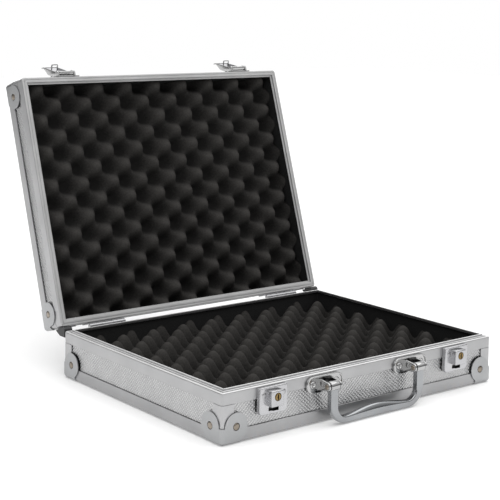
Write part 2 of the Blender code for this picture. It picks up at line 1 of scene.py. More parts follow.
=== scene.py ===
"""Foam-lined aluminium case, standing open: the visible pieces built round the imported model.

Lengths are in metres. Each shell is built in "shell coordinates", with its outer skin at Z = 0 and
its rim on top. Fittings are built about their own axis or on the face they are fixed to.
"""

import json
import math

import bmesh
import bpy
from mathutils import Matrix, Vector, noise


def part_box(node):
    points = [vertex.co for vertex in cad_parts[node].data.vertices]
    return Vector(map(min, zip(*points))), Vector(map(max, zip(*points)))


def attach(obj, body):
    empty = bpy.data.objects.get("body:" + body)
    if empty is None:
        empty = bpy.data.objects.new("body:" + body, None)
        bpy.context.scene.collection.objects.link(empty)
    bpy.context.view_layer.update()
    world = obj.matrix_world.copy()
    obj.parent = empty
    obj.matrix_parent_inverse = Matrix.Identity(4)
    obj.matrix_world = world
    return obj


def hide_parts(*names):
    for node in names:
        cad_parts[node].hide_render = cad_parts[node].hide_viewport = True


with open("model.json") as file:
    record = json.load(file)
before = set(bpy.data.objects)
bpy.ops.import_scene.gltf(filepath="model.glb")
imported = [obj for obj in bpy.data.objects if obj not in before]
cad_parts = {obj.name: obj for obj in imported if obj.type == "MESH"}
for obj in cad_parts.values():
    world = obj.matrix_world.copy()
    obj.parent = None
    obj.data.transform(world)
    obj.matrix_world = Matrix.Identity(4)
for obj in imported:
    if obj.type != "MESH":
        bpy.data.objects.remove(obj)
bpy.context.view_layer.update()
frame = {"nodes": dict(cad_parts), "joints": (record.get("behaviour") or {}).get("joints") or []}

# ---------------- places read from the frame
JOINTS = {joint["name"]: joint for joint in frame["joints"]}
edge_low, edge_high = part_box("base_edge_extrusion")
WIDTH = edge_high.x - edge_low.x
DEPTH = edge_high.y - edge_low.y
CENTRE_Y = (edge_low.y + edge_high.y) / 2
FOOT = edge_low.z
HINGE = Vector(JOINTS["lid_hinge"]["pos_m"])
LID_OPEN = math.radians(JOINTS["lid_hinge"]["range_deg"][1])
HASP_OPEN = math.radians(JOINTS["hasp_left_hinge"]["range_deg"][1])
LOCK_X = JOINTS["key_right_turn"]["pos_m"][0]
KEY_Z = JOINTS["key_right_turn"]["pos_m"][2]
PIVOT = Vector(JOINTS["handle_swing"]["pos_m"])
BASE_HEIGHT = HINGE.z
FRONT = CENTRE_Y - DEPTH / 2

# ---------------- sizes that the frame doesn't name
LID_HEIGHT = 0.050
GAP = 0.0003                     # between pieces that would otherwise share a face
SKIN = 0.0012                    # wall thickness of the extrusions and corner pieces
EDGE_ROUND = 0.004               # outer vertical corners of the extrusions
RIM_FACE = 0.015                 # height of a rim's outer face
RIM_WIDTH = 0.010
RIM_TOP = -0.0035                # level faces of a rim above this height are its top faces
WALL_STOP = 0.0024               # the wall panels end this far below the rim's top
EDGE_FACE = 0.0152               # width of an outer edge extrusion's faces
POST_LEG = 0.018
PANEL_DEPTH = 0.0015             # the wall panels lie this far inside the outer faces
PANEL_THICKNESS = 0.003
DIAMOND = (0.00265, 0.0024)      # half width and half height of an embossed diamond
RELIEF = 0.00040                 # height of the embossing
RIVET_REACH = 0.0206             # corner rivets from the outer faces
EAR_RADIUS = 0.0168
CORNER_STRIP = 0.031
CORNER_RIVET = 0.0042
FOAM_INSET = 0.007
FOAM_ROUNDNESS = 0.35            # 0 is a plain wave; above it peaks are rounder, sides steeper
FOAM_STEP = 0.0019               # grid step of the foam's surface
FOAM_MARGIN = 0.0014             # room above the mean height of the peaks for the uneven ones
FOAM_DRIFT = 0.0016              # how far the lattice of peaks wanders
FOAM_UNEVEN = 0.0012             # how much the height varies over several peaks
FOAM_PITTED = 0.0003             # how much it varies over a few millimetres
LINING_INSET = 0.00665
LINING_THICKNESS = 0.0003
# The crest attribute drives the painted shade in the hollows and the painted light on the peaks of
# the panels and the foam.
CREST = "crest"                  # a mesh attribute: 0 in a surface's hollows, 1 on its peaks
GRAIN_DEPTH = 0.00002            # depth of the grain on metal
SMOOTH_ANGLE = 32                # degrees; sharper edges stay sharp
HASP_UP = 0.002                  # the hasp's axis above the lid's rim, with the lid closed
HASP_OUT = 0.0065                # and in front of the lid's outer face
HASP_WIDTH = 0.023
LOCK_WIDTH = 0.0428
LOCK_LOW = 0.028
LOCK_HIGH = 0.061
LOCK_PROUD = 0.0055
KEY_BOX_PROUD = 0.0135
KEY_BOX = (0.019, 0.0380, 0.0575)    # width, lowest and highest
SLOT_Z = 0.0343                  # height of the slot that takes the hasp's staple
HANDLE_X = 0.0735
ARM_WIDTH = 0.0118
ARM_THICKNESS = 0.0088
HANDLE_DROP = 0.049
GRIP_END = 0.009                 # the grip's height at its ends
GRIP_ARCH = 0.0048               # and how much higher it is in the middle
BARREL_RADIUS = 0.006
BARREL_WIDTH = 0.0135
HANDLE_PIN = 0.002
PIVOT_OUT = FRONT - PIVOT.y

BASE = Matrix.Translation((0, CENTRE_Y, 0))
LID_CLOSED = (Matrix.Translation(HINGE) @ Matrix.Rotation(-LID_OPEN, 4, "X")
              @ Matrix.Translation(-HINGE) @ Matrix.Translation((0, CENTRE_Y, BASE_HEIGHT)))
LID = LID_CLOSED @ Matrix.Translation((0, 0, LID_HEIGHT)) @ Matrix.Rotation(math.pi, 4, "Y")
ALONG_X = Matrix(((0, 0, 1, 0), (1, 0, 0, 0), (0, 1, 0, 0), (0, 0, 0, 1)))    # outline in YZ
ALONG_Y = Matrix(((1, 0, 0, 0), (0, 0, -1, 0), (0, 1, 0, 0), (0, 0, 0, 1)))   # outline in XZ


# ---------------- materials
def principled(name, colour, metallic, roughness):
    """Return a material and its Principled shader."""
    material = bpy.data.materials.new(name)
    material.use_nodes = True
    shader = material.node_tree.nodes["Principled BSDF"]
    shader.inputs["Base Color"].default_value = (*colour, 1)
    shader.inputs["Metallic"].default_value = metallic
    shader.inputs["Roughness"].default_value = roughness
    return material, shader


def add_noise(material, scale, detail, stretch=(1, 1, 1)):
    """Return the value socket of a noise that is fixed to the object."""
    nodes = material.node_tree.nodes
    links = material.node_tree.links
    coordinates = nodes.new("ShaderNodeTexCoord")
    mapping = nodes.new("ShaderNodeMapping")
    mapping.inputs["Scale"].default_value = stretch
    texture = nodes.new("ShaderNodeTexNoise")
    texture.inputs["Scale"].default_value = scale
    texture.inputs["Detail"].default_value = detail
    links.new(coordinates.outputs["Object"], mapping.inputs["Vector"])
    links.new(mapping.outputs["Vector"], texture.inputs["Vector"])
    return texture.outputs["Fac"]


def spread(material, value, low, high, socket):
    """Drive a shader input between two numbers."""
    nodes = material.node_tree.nodes
    remap = nodes.new("ShaderNodeMapRange")
    remap.inputs["From Min"].default_value = 0.3
    remap.inputs["From Max"].default_value = 0.7
    remap.inputs["To Min"].default_value = low
    remap.inputs["To Max"].default_value = high
    material.node_tree.links.new(value, remap.inputs["Value"])
    material.node_tree.links.new(remap.outputs["Result"], socket)


def tint(material, value, dark, light, socket, start=0.32, end=0.68):
    """Drive a colour input from dark to light as the value goes from start to end."""
    nodes = material.node_tree.nodes
    remap = nodes.new("ShaderNodeMapRange")
    remap.inputs["From Min"].default_value = start
    remap.inputs["From Max"].default_value = end
    mix = nodes.new("ShaderNodeMix")
    mix.data_type = "RGBA"
    mix.inputs["A"].default_value = (*dark, 1)
    mix.inputs["B"].default_value = (*light, 1)
    material.node_tree.links.new(value, remap.inputs["Value"])
    material.node_tree.links.new(remap.outputs["Result"], mix.inputs["Factor"])
    material.node_tree.links.new(mix.outputs["Result"], socket)


def raised(material, scale, detail, share):
    """Return a value that is 0 in a surface's hollows and 1 on its peaks, plus a share of noise."""
    nodes = material.node_tree.nodes
    links = material.node_tree.links
    crest = nodes.new("ShaderNodeAttribute")
    crest.attribute_name = CREST
    total = nodes.new("ShaderNodeMath")
    total.operation = "MULTIPLY_ADD"
    total.inputs[1].default_value = share
    links.new(add_noise(material, scale, detail), total.inputs[0])
    links.new(crest.outputs["Fac"], total.inputs[2])
    return total.outputs["Value"]


def bump(material, shader, value, strength, distance):
    """Give the surface a fine bump."""
    nodes = material.node_tree.nodes
    node = nodes.new("ShaderNodeBump")
    node.inputs["Strength"].default_value = strength
    node.inputs["Distance"].default_value = distance
    material.node_tree.links.new(value, node.inputs["Height"])
    material.node_tree.links.new(node.outputs["Normal"], shader.inputs["Normal"])


def metal(name, dark, light, roughness, grain, stretch=(1, 1, 1), metallic=1.0):
    """Return a metal with cloudy tone, uneven gloss and a fine grain."""
    material, shader = principled(name, light, metallic, roughness)
    tint(material, add_noise(material, 22, 3), dark, light, shader.inputs["Base Color"])
    fine = add_noise(material, grain, 4, stretch)
    spread(material, fine, roughness * 0.85, roughness * 1.2, shader.inputs["Roughness"])
    bump(material, shader, fine, 0.25, GRAIN_DEPTH)
    return material


DRAWN = (1, 6, 6)                # the stretch that gives a grain along X, as on a drawn extrusion
ALUMINIUM = metal("satin_aluminium", (0.44, 0.44, 0.445), (0.49, 0.49, 0.495), 0.38, 500, DRAWN)
# The base rim's top faces are painted far lighter than the lid rim's copy of the same finish:
# painted light where the ledge catches the light.
BASE_LAND_PAINTED_LIGHT = metal("base_rim_top_painted_light", (0.72, 0.72, 0.72), (0.80, 0.80, 0.80), 0.45, 500, DRAWN, 0.25)
LID_LAND = metal("lid_rim_top", (0.46, 0.46, 0.46), (0.53, 0.53, 0.53), 0.45, 500, DRAWN, 0.25)
# The edge extrusions get a darker copy of the aluminium: painted shade, for the dimmer light that
# reaches them near the floor.
EDGE_METAL_PAINTED_SHADE = metal("edge_aluminium_painted_shade", (0.38, 0.38, 0.385), (0.43, 0.43, 0.435), 0.38, 500, DRAWN)
CORNER_STEEL = metal("pressed_corner", (0.37, 0.375, 0.38), (0.41, 0.415, 0.42), 0.32, 1100)
CHROME = metal("bright_plate", (0.40, 0.40, 0.40), (0.47, 0.47, 0.47), 0.12, 1500)
HASP_METAL = metal("hasp_plate", (0.42, 0.42, 0.42), (0.50, 0.50, 0.50), 0.24, 1500)
SATIN = metal("satin_plate", (0.30, 0.305, 0.315), (0.35, 0.36, 0.37), 0.15, 900, (1, 1, 5))
LOCK_PLATE = metal("lock_plate", (0.47, 0.47, 0.482), (0.53, 0.53, 0.542), 0.24, 1300)
STEEL = metal("hinge_steel", (0.40, 0.40, 0.41), (0.47, 0.47, 0.48), 0.28, 1400)
BRASS = metal("key_brass", (0.22, 0.15, 0.06), (0.42, 0.32, 0.16), 0.18, 1500)
RIVET = metal("rivet_metal", (0.24, 0.205, 0.165), (0.37, 0.325, 0.275), 0.32, 1200)


def panel_material():
    """Return the embossed sheet: painted shade round the foot of each diamond, painted light on
    top.
    """
    material, shader = principled("embossed_panel", (0.46, 0.46, 0.46), 1.0, 0.26)
    # Painted shade in the diamonds' hollows and painted light on their tops, with random tone from
    # the noise.
    tint(material, raised(material, 60, 4, 0.5), (0.39, 0.39, 0.395), (0.65, 0.65, 0.65),
         shader.inputs["Base Color"], 0.25, 1.25)
    fine = add_noise(material, 700, 4)
    spread(material, fine, 0.22, 0.31, shader.inputs["Roughness"])
    bump(material, shader, fine, 0.25, GRAIN_DEPTH)
    return material


def foam_material():
    """Return open-cell foam: almost black, a little brown, with fine pits, painted shade in its
    valleys and painted light on its peaks.
    """
    material, shader = principled("charcoal_foam", (0.03, 0.03, 0.03), 0.0, 0.95)
    # Painted shade in the valleys and painted light on the peaks, with random tone from the noise.
    tint(material, raised(material, 420, 6, 0.9), (0.0145, 0.0141, 0.0136), (0.050, 0.0475, 0.045),
         shader.inputs["Base Color"], 0.60, 1.52)
    shader.inputs["Specular IOR Level"].default_value = 0.08
    bump(material, shader, add_noise(material, 1400, 2), 0.6, 0.0004)
    return material


def plastic_material():
    """Return black moulded plastic with a light texture; the locks and key plugs also wear it
    inside, as painted shade.
    """
    material, shader = principled("black_plastic", (0.02, 0.02, 0.02), 0.0, 0.42)
    fine = add_noise(material, 1600, 3)
    tint(material, fine, (0.014, 0.014, 0.014), (0.028, 0.028, 0.029), shader.inputs["Base Color"])
    bump(material, shader, fine, 0.4, 0.0001)
    return material


def wall_sheet_material():
    """Return the near-black matt material of the thin sheet that stands round the walls."""
    material, shader = principled("black_wall_sheet", (0.02, 0.02, 0.02), 0.0, 0.95)
    speckle = add_noise(material, 2200, 4)
    tint(material, speckle, (0.013, 0.013, 0.013), (0.03, 0.03, 0.03), shader.inputs["Base Color"])
    shader.inputs["Specular IOR Level"].default_value = 0.05
    bump(material, shader, speckle, 0.5, 0.0002)
    return material


PANEL = panel_material()
FOAM = foam_material()
WALL_SHEET = wall_sheet_material()
BLACK_PLASTIC_AND_SHADE = plastic_material()


# ---------------- modelling helpers
def to_mesh(shape, material):
    """Turn a bmesh into a mesh with a material and outward faces."""
    bmesh.ops.recalc_face_normals(shape, faces=shape.faces)
    mesh = bpy.data.meshes.new("shape")
    shape.to_mesh(mesh)
    shape.free()
    mesh.materials.append(material)
    return mesh


def turned(mesh, matrix):
    """Return the mesh after a transform."""
    mesh.transform(matrix)
    if matrix.determinant() < 0:
        mesh.flip_normals()
    return mesh


def moved(mesh, x, y, z):
    """Return the mesh after a move."""
    return turned(mesh, Matrix.Translation((x, y, z)))


def box(low, high, material, bevel=0.0, segments=3, picks=lambda edge: True):
    """Return a box between two corners, its picked edges rounded."""
    low, high = Vector(low), Vector(high)
    shape = bmesh.new()
    bmesh.ops.create_cube(shape, size=1.0)
    bmesh.ops.scale(shape, vec=high - low, verts=shape.verts)
    bmesh.ops.translate(shape, vec=(low + high) / 2, verts=shape.verts)
    if bevel:
        edges = [edge for edge in shape.edges if picks(edge)]
        bmesh.ops.bevel(shape, geom=edges, offset=bevel, segments=segments, profile=0.5,
                        affect="EDGES")
    return to_mesh(shape, material)


def rod(radius, start, end, material, bevel=0.0, sides=40):
    """Return a cylinder between two points, its rims rounded."""
    start, end = Vector(start), Vector(end)
    shape = bmesh.new()
    bmesh.ops.create_cone(shape, cap_ends=True, segments=sides, radius1=radius, radius2=radius,
                          depth=(end - start).length)
    if bevel:
        rims = [edge for edge in shape.edges
                if any(len(face.verts) > 4 for face in edge.link_faces)]
        bmesh.ops.bevel(shape, geom=rims, offset=bevel, segments=3, profile=0.5, affect="EDGES")
    turn = Vector((0, 0, 1)).rotation_difference(end - start).to_matrix().to_4x4()
    bmesh.ops.transform(shape, matrix=Matrix.Translation((start + end) / 2) @ turn,
                        verts=shape.verts)
    return to_mesh(shape, material)


def lathe(profile, start, outwards, material, sides=40):
    """Return a turned solid. The profile is (radius, height) from the top's middle outwards."""
    shape = bmesh.new()
    rings = []
    for radius, height in profile:
        if radius == 0:
            rings.append([shape.verts.new((0, 0, height))])
            continue
        rings.append([shape.verts.new((radius * math.cos(2 * math.pi * step / sides),
                                       radius * math.sin(2 * math.pi * step / sides), height))
                      for step in range(sides)])
    for upper, lower in zip(rings, rings[1:]):
        for step in range(sides):
            after = (step + 1) % sides
            corners = [upper[step % len(upper)], lower[step], lower[after],
                       upper[after % len(upper)]]
            shape.faces.new(list(dict.fromkeys(corners)))
    shape.faces.new(list(reversed(rings[-1])))
    turn = Vector((0, 0, 1)).rotation_difference(Vector(outwards)).to_matrix().to_4x4()
    bmesh.ops.transform(shape, matrix=Matrix.Translation(start) @ turn, verts=shape.verts)
    return to_mesh(shape, material)


def arc(centre, radius, start, end, steps):
    """Return points on an arc, with the angles in degrees."""
    turns = [math.radians(start + (end - start) * step / steps) for step in range(steps + 1)]
    return [(centre[0] + radius * math.cos(turn), centre[1] + radius * math.sin(turn))
            for turn in turns]


def rounded(points, radius, steps=3):
    """Return a closed outline with its corners rounded."""
    result = []
    for index, point in enumerate(points):
        here = Vector(point)
        back = Vector(points[index - 1]) - here
        ahead = Vector(points[(index + 1) % len(points)]) - here
        reach = min(radius, 0.45 * back.length, 0.45 * ahead.length)
        start = here + back.normalized() * reach
        end = here + ahead.normalized() * reach
        for step in range(steps + 1):
            t = step / steps
            result.append(tuple(start * (1 - t) ** 2 + here * 2 * t * (1 - t) + end * t ** 2))
    return result


def slab(points, low, high, material, bevel=0.0, segments=3, both=True):
    """Return an outline in XY, thickened from low to high, with rounded rims."""
    shape = bmesh.new()
    bottom = shape.faces.new([shape.verts.new((x, y, low)) for x, y in points])
    made = bmesh.ops.extrude_face_region(shape, geom=[bottom])
    top = [item for item in made["geom"] if isinstance(item, bmesh.types.BMVert)]
    bmesh.ops.translate(shape, vec=(0, 0, high - low), verts=top)
    if bevel:
        levels = (low, high) if both else (high,)
        rims = [edge for edge in shape.edges
                if any(all(abs(v.co.z - level) < 1e-7 for v in edge.verts) for level in levels)]
        bmesh.ops.bevel(shape, geom=rims, offset=bevel, segments=segments, profile=0.5,
                        affect="EDGES", clamp_overlap=True)
    return to_mesh(shape, material)


def bridge(shape, rings):
    """Join each ring of vertices to the next with faces."""
    for ring, after in zip(rings, rings[1:]):
        for index in range(len(ring)):
            other = (index + 1) % len(ring)
            shape.faces.new((ring[index], ring[other], after[other], after[index]))


def add_back(shape, grid, height):
    """Close a rectangular grid of vertices into a solid with a flat back at a height."""
    border = grid[0] + [line[-1] for line in grid[1:]] + grid[-1][-2::-1]
    border += [line[0] for line in grid[-2:0:-1]]
    back = [shape.verts.new((vertex.co.x, vertex.co.y, height)) for vertex in border]
    for index in range(len(border)):
        after = (index + 1) % len(border)
        shape.faces.new((border[after], border[index], back[index], back[after]))
    shape.faces.new(list(reversed(back)))


def combine(mesh, other, operation):
    """Return the Boolean of two meshes. Each face keeps its own material."""
    holder = bpy.data.objects.new("target", mesh)
    cutter = bpy.data.objects.new("cutter", other)
    for used in (holder, cutter):
        bpy.context.scene.collection.objects.link(used)
    modifier = holder.modifiers.new("combine", "BOOLEAN")
    modifier.object = cutter
    modifier.operation = operation
    modifier.material_mode = "TRANSFER"
    depsgraph = bpy.context.evaluated_depsgraph_get()
    result = bpy.data.meshes.new_from_object(holder.evaluated_get(depsgraph))
    for used in (holder, cutter):
        bpy.data.objects.remove(used, do_unlink=True)
    return result


def joined(first, *others):
    """Return the union of several meshes."""
    for other in others:
        first = combine(first, other, "UNION")
    return first


def cut(first, *others):
    """Return a mesh with others cut away."""
    for other in others:
        first = combine(first, other, "DIFFERENCE")
    return first


def piece(name, mesh, place, body, nodes, angle=SMOOTH_ANGLE):
    """Make a visible piece that rides on a body and stands for CAD nodes."""
    mesh = mesh.copy()
    turned(mesh, place)
    thing = bpy.data.objects.new(name, mesh)
    bpy.context.scene.collection.objects.link(thing)
    mesh.shade_smooth()
    mesh.set_sharp_from_angle(angle=math.radians(angle))
    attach(thing, body)
    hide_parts(*nodes)
    return thing


# ---------------- extrusions
def sweep_side(outline, length, material, top_material=None):
    """Run a section along X with mitred ends and rounded outer corners.

    The outline is (depth, height). Depth is measured inwards from the outer face, which faces -Y.
    The level faces on top may have a second material.
    """
    steps = 6          # facets in half of a rounded corner
    lead = 0.002       # the inner part of the section turns this much earlier
    seam = 0.00006     # half the hairline gap at a mitre
    shape = bmesh.new()
    rings = []
    for step in range(2 * steps + 2):
        sign = -1 if step <= steps else 1
        t = (steps - step) / steps if sign < 0 else (step - steps - 1) / steps
        turn = math.radians(45) * t
        ring = []
        for depth, height in outline:
            radius = max(EDGE_ROUND - depth, 0)
            inset = max(EDGE_ROUND, depth)
            share = min(depth / EDGE_ROUND, 1)
            x = length / 2 - inset + radius * math.sin(turn) - (1 - t) * lead * share - seam
            y = inset - radius * math.cos(turn)
            ring.append(shape.verts.new((sign * x, y, height)))
        rings.append(ring)
    count = len(outline)
    for ring, after in zip(rings, rings[1:]):
        for index in range(count):
            other = (index + 1) % count
            face = shape.faces.new((ring[index], ring[other], after[other], after[index]))
            across = abs(outline[other][0] - outline[index][0])
            climb = abs(outline[other][1] - outline[index][1])
            if top_material and across > climb and outline[index][1] > RIM_TOP:
                face.material_index = 1
    shape.faces.new(rings[0])
    shape.faces.new(list(reversed(rings[-1])))
    mesh = to_mesh(shape, material)
    if top_material:
        mesh.materials.append(top_material)
    return mesh


def rim_edge():
    """Return the rounded outer edge of a rim, from its face to its ledge."""
    return arc((0.0016, -0.0018), 0.0016, 180, 90, 6)


def base_rim_outline():
    """Return the base rim's section, with its outer ledge, groove and tongue."""
    points = [(0.0046, -0.0002), (0.0048, -0.0014), (0.0062, -0.0014), (0.0064, -0.0002),
              (0.0077, -0.0002), (0.0079, 0.0023), (RIM_WIDTH, 0.0023), (RIM_WIDTH, -0.0016),
              (0.0066, -0.0016), (0.0066, -0.012), (0.0054, -0.012), (0.0054, -0.0024),
              (SKIN, -0.0024), (SKIN, -RIM_FACE), (0, -RIM_FACE)]
    return rim_edge() + rounded(points, 0.0005)


def lid_rim_outline():
    """Return the lid rim's section, with the step that takes the base's tongue."""
    points = [(0.0030, -0.0002), (0.0032, -0.0009), (0.0040, -0.0009), (0.0042, -0.0002),
              (0.0073, -0.0002), (0.0074, -0.0031), (RIM_WIDTH, -0.0031), (RIM_WIDTH, -0.0045),
              (0.0066, -0.0045), (0.0066, -0.012), (0.0054, -0.012), (0.0054, -0.0024),
              (SKIN, -0.0024), (SKIN, -RIM_FACE), (0, -RIM_FACE)]
    return rim_edge() + rounded(points, 0.0005)


def edge_outline():
    """Return the outer edge extrusion's L section."""
    top = FOOT + EDGE_FACE
    outer = arc((0.002, FOOT + 0.002), 0.002, 180, 270, 5)
    inner = arc((0.0022, FOOT + 0.0022), 0.001, 270, 180, 4)
    ends = [(EDGE_FACE, FOOT), (EDGE_FACE, FOOT + SKIN)]
    return [(0.0003, top), (0, top - 0.0003)] + outer + ends + inner + [(SKIN, top)]


def post_mesh(low, high):
    """Return a rounded corner post. Its corner is at the origin and its legs run along +X, +Y."""
    middle = (EDGE_ROUND, EDGE_ROUND)
    outline = [(0.0004, POST_LEG), (0, POST_LEG - 0.0004)]
    outline += arc(middle, EDGE_ROUND, 180, 270, 10)
    outline += [(POST_LEG - 0.0004, 0), (POST_LEG, 0.0004), (POST_LEG, SKIN)]
    outline += arc(middle, EDGE_ROUND - SKIN, 270, 180, 10) + [(SKIN, POST_LEG)]
    return slab(outline, low, high, ALUMINIUM)


# ---------------- embossed panels
def embossed_sheet(width, height):
    """Return a sheet in XY whose +Z face is pressed into rows of small raised diamonds."""
    columns = max(2, round(width / DIAMOND[0]))
    rows = max(2, round(height / DIAMOND[1]))
    shape = bmesh.new()
    crest = shape.verts.layers.float.new(CREST)
    grid = []
    for row in range(rows + 1):
        line = []
        for column in range(columns + 1):
            inner = 0 < row < rows and 0 < column < columns
            top = 1 if inner and (row + column) % 2 == 0 else 0
            point = shape.verts.new((width * (column / columns - 0.5),
                                     height * (row / rows - 0.5), RELIEF * (top - 1)))
            point[crest] = top
            line.append(point)
        grid.append(line)
    for row in range(rows):
        for column in range(columns):
            a, b = grid[row][column], grid[row][column + 1]
            c, d = grid[row + 1][column + 1], grid[row + 1][column]
            if (row + column) % 2:
                shape.faces.new((a, b, c))
                shape.faces.new((a, c, d))
            else:
                shape.faces.new((a, b, d))
                shape.faces.new((b, c, d))
    add_back(shape, grid, -PANEL_THICKNESS)
    return to_mesh(shape, PANEL)


# ---------------- corner pieces and rivets
def corner_mesh():
    """Return a pressed corner piece with three round ears, its outer corner at the origin."""
    size = 0.045
    outer_round = EDGE_ROUND + FOOT

    def from_corner(edge):
        """Pick the three edges that meet at the outer corner."""
        return any(vertex.co.length < 1e-5 for vertex in edge.verts)

    outer = box((0, 0, 0), (size, size, size), CORNER_STEEL, outer_round, 8, from_corner)
    inner = box((0, 0, 0), (size, size, size), CORNER_STEEL, outer_round - SKIN, 8, from_corner)
    inner = moved(inner, SKIN, SKIN, SKIN)
    across = RIVET_REACH + FOOT
    up = RIVET_REACH
    deep = EAR_RADIUS / 2
    low = -GAP
    keep = joined(
        box((low, low, low), (across, across, up), CORNER_STEEL),
        box((low, low, low), (CORNER_STRIP, deep, deep), CORNER_STEEL),
        box((low, low, low), (deep, CORNER_STRIP, deep), CORNER_STEEL),
        rod(EAR_RADIUS, (across, low, up), (across, deep, up), CORNER_STEEL, sides=96),
        rod(EAR_RADIUS, (low, across, up), (deep, across, up), CORNER_STEEL, sides=96),
        rod(EAR_RADIUS, (across, across, low), (across, across, deep), CORNER_STEEL, sides=96),
    )
    shell = combine(cut(outer, inner), keep, "INTERSECT")
    hole = CORNER_RIVET + 0.0007
    return cut(shell,
               rod(hole, (across, -0.001, up), (across, 0.003, up), CORNER_STEEL),
               rod(hole, (-0.001, across, up), (0.003, across, up), CORNER_STEEL),
               rod(hole, (across, across, -0.001), (across, across, 0.003), CORNER_STEEL))


def rivet_profile(radius, height, sunk):
    """Return a domed rivet head that sinks below the face it holds."""
    return [(0, height), (0.35 * radius, 0.96 * height), (0.62 * radius, 0.82 * height),
            (0.84 * radius, 0.50 * height), (0.96 * radius, 0.15 * height), (radius, -0.0001),
            (radius, -sunk)]


def corner_rivets():
    """Return the three rivets of a corner piece as one mesh."""
    across = RIVET_REACH + FOOT
    up = RIVET_REACH
    heads = [((across, 0, up), (0, -1, 0), 0.0007), ((0, across, up), (-1, 0, 0), 0.0007),
             ((across, across, 0.0006), (0, 0, -1), 0.0004)]
    shape = bmesh.new()
    for spot, outwards, height in heads:
        shape.from_mesh(lathe(rivet_profile(CORNER_RIVET, height, 0.0009), spot, outwards, RIVET))
    return to_mesh(shape, RIVET)


# ---------------- foam
def peak_drop(column, row):
    """Return how far the foam lies below its peaks: 0 on a peak, 1 in the deepest valley.

    Peaks stand at every whole column, and at half rows in every second column.
    """
    drop = (1 - math.cos(math.pi * column) * math.cos(2 * math.pi * row)) / 2
    return drop - FOAM_ROUNDNESS * math.sin(2 * math.pi * drop) / (2 * math.pi)


def foam_mesh(low, high, depth, start, pitch):
    """Return an egg-crate foam slab. Its peaks stand on a lattice laid out from one of them."""
    half_x = WIDTH / 2 - FOAM_INSET
    half_y = DEPTH / 2 - FOAM_INSET
    columns = round(2 * half_x / FOAM_STEP)
    rows = round(2 * half_y / FOAM_STEP)
    shape = bmesh.new()
    crest = shape.verts.layers.float.new(CREST)
    grid = []
    for row in range(rows + 1):
        line = []
        y = half_y * (2 * row / rows - 1)
        for column in range(columns + 1):
            x = half_x * (2 * column / columns - 1)
            drift = FOAM_DRIFT * noise.noise(Vector((35 * x, 35 * y, low)))
            uneven = FOAM_UNEVEN * noise.noise(Vector((48 * x, 48 * y, high)))
            uneven += FOAM_PITTED * noise.noise(Vector((300 * x, 300 * y, high)))
            drop = peak_drop((x + drift - start[0]) / pitch[0], (y + drift - start[1]) / pitch[1])
            z = high - FOAM_MARGIN - depth * drop + uneven
            point = shape.verts.new((x, y, min(z, high)))
            point[crest] = 1 - drop
            line.append(point)
        grid.append(line)
    for row in range(rows):
        for column in range(columns):
            shape.faces.new((grid[row][column], grid[row][column + 1],
                             grid[row + 1][column + 1], grid[row + 1][column]))
    add_back(shape, grid, low)
    return to_mesh(shape, FOAM)


def lining_mesh(low, high):
    """Return the thin sheet that stands round the walls, between two heights."""
    outer = LINING_INSET
    inner = LINING_INSET + LINING_THICKNESS
    shape = bmesh.new()
    rings = []
    for inset, z in ((outer, low), (inner, low), (inner, high), (outer, high)):
        half_x = WIDTH / 2 - inset
        half_y = DEPTH / 2 - inset
        corners = rounded([(-half_x, -half_y), (half_x, -half_y), (half_x, half_y),
                           (-half_x, half_y)], 0.004, 6)
        rings.append([shape.verts.new((x, y, z)) for x, y in corners])
    bridge(shape, rings + rings[:1])
    return to_mesh(shape, WALL_SHEET)


# ---------------- shells
SIDES = (("front", 0), ("right", 90), ("back", 180), ("left", 270))
CORNERS = (("front_left", -1, -1, 0), ("front_right", 1, -1, 90),
           ("back_right", 1, 1, 180), ("back_left", -1, 1, 270))
OTHER_HAND = {"left": "right", "right": "left"}
corner_shape = corner_mesh()
rivets_shape = corner_rivets()
edge_shapes = {length: sweep_side(edge_outline(), length, EDGE_METAL_PAINTED_SHADE) for length in (WIDTH, DEPTH)}


def named(shell, kind, spot):
    """Return a node's name. The lid is built turned over, so its left is the case's right."""
    words = spot.split("_")
    if shell == "lid":
        words = [OTHER_HAND.get(word, word) for word in words]
    return "_".join([shell, kind] + words)


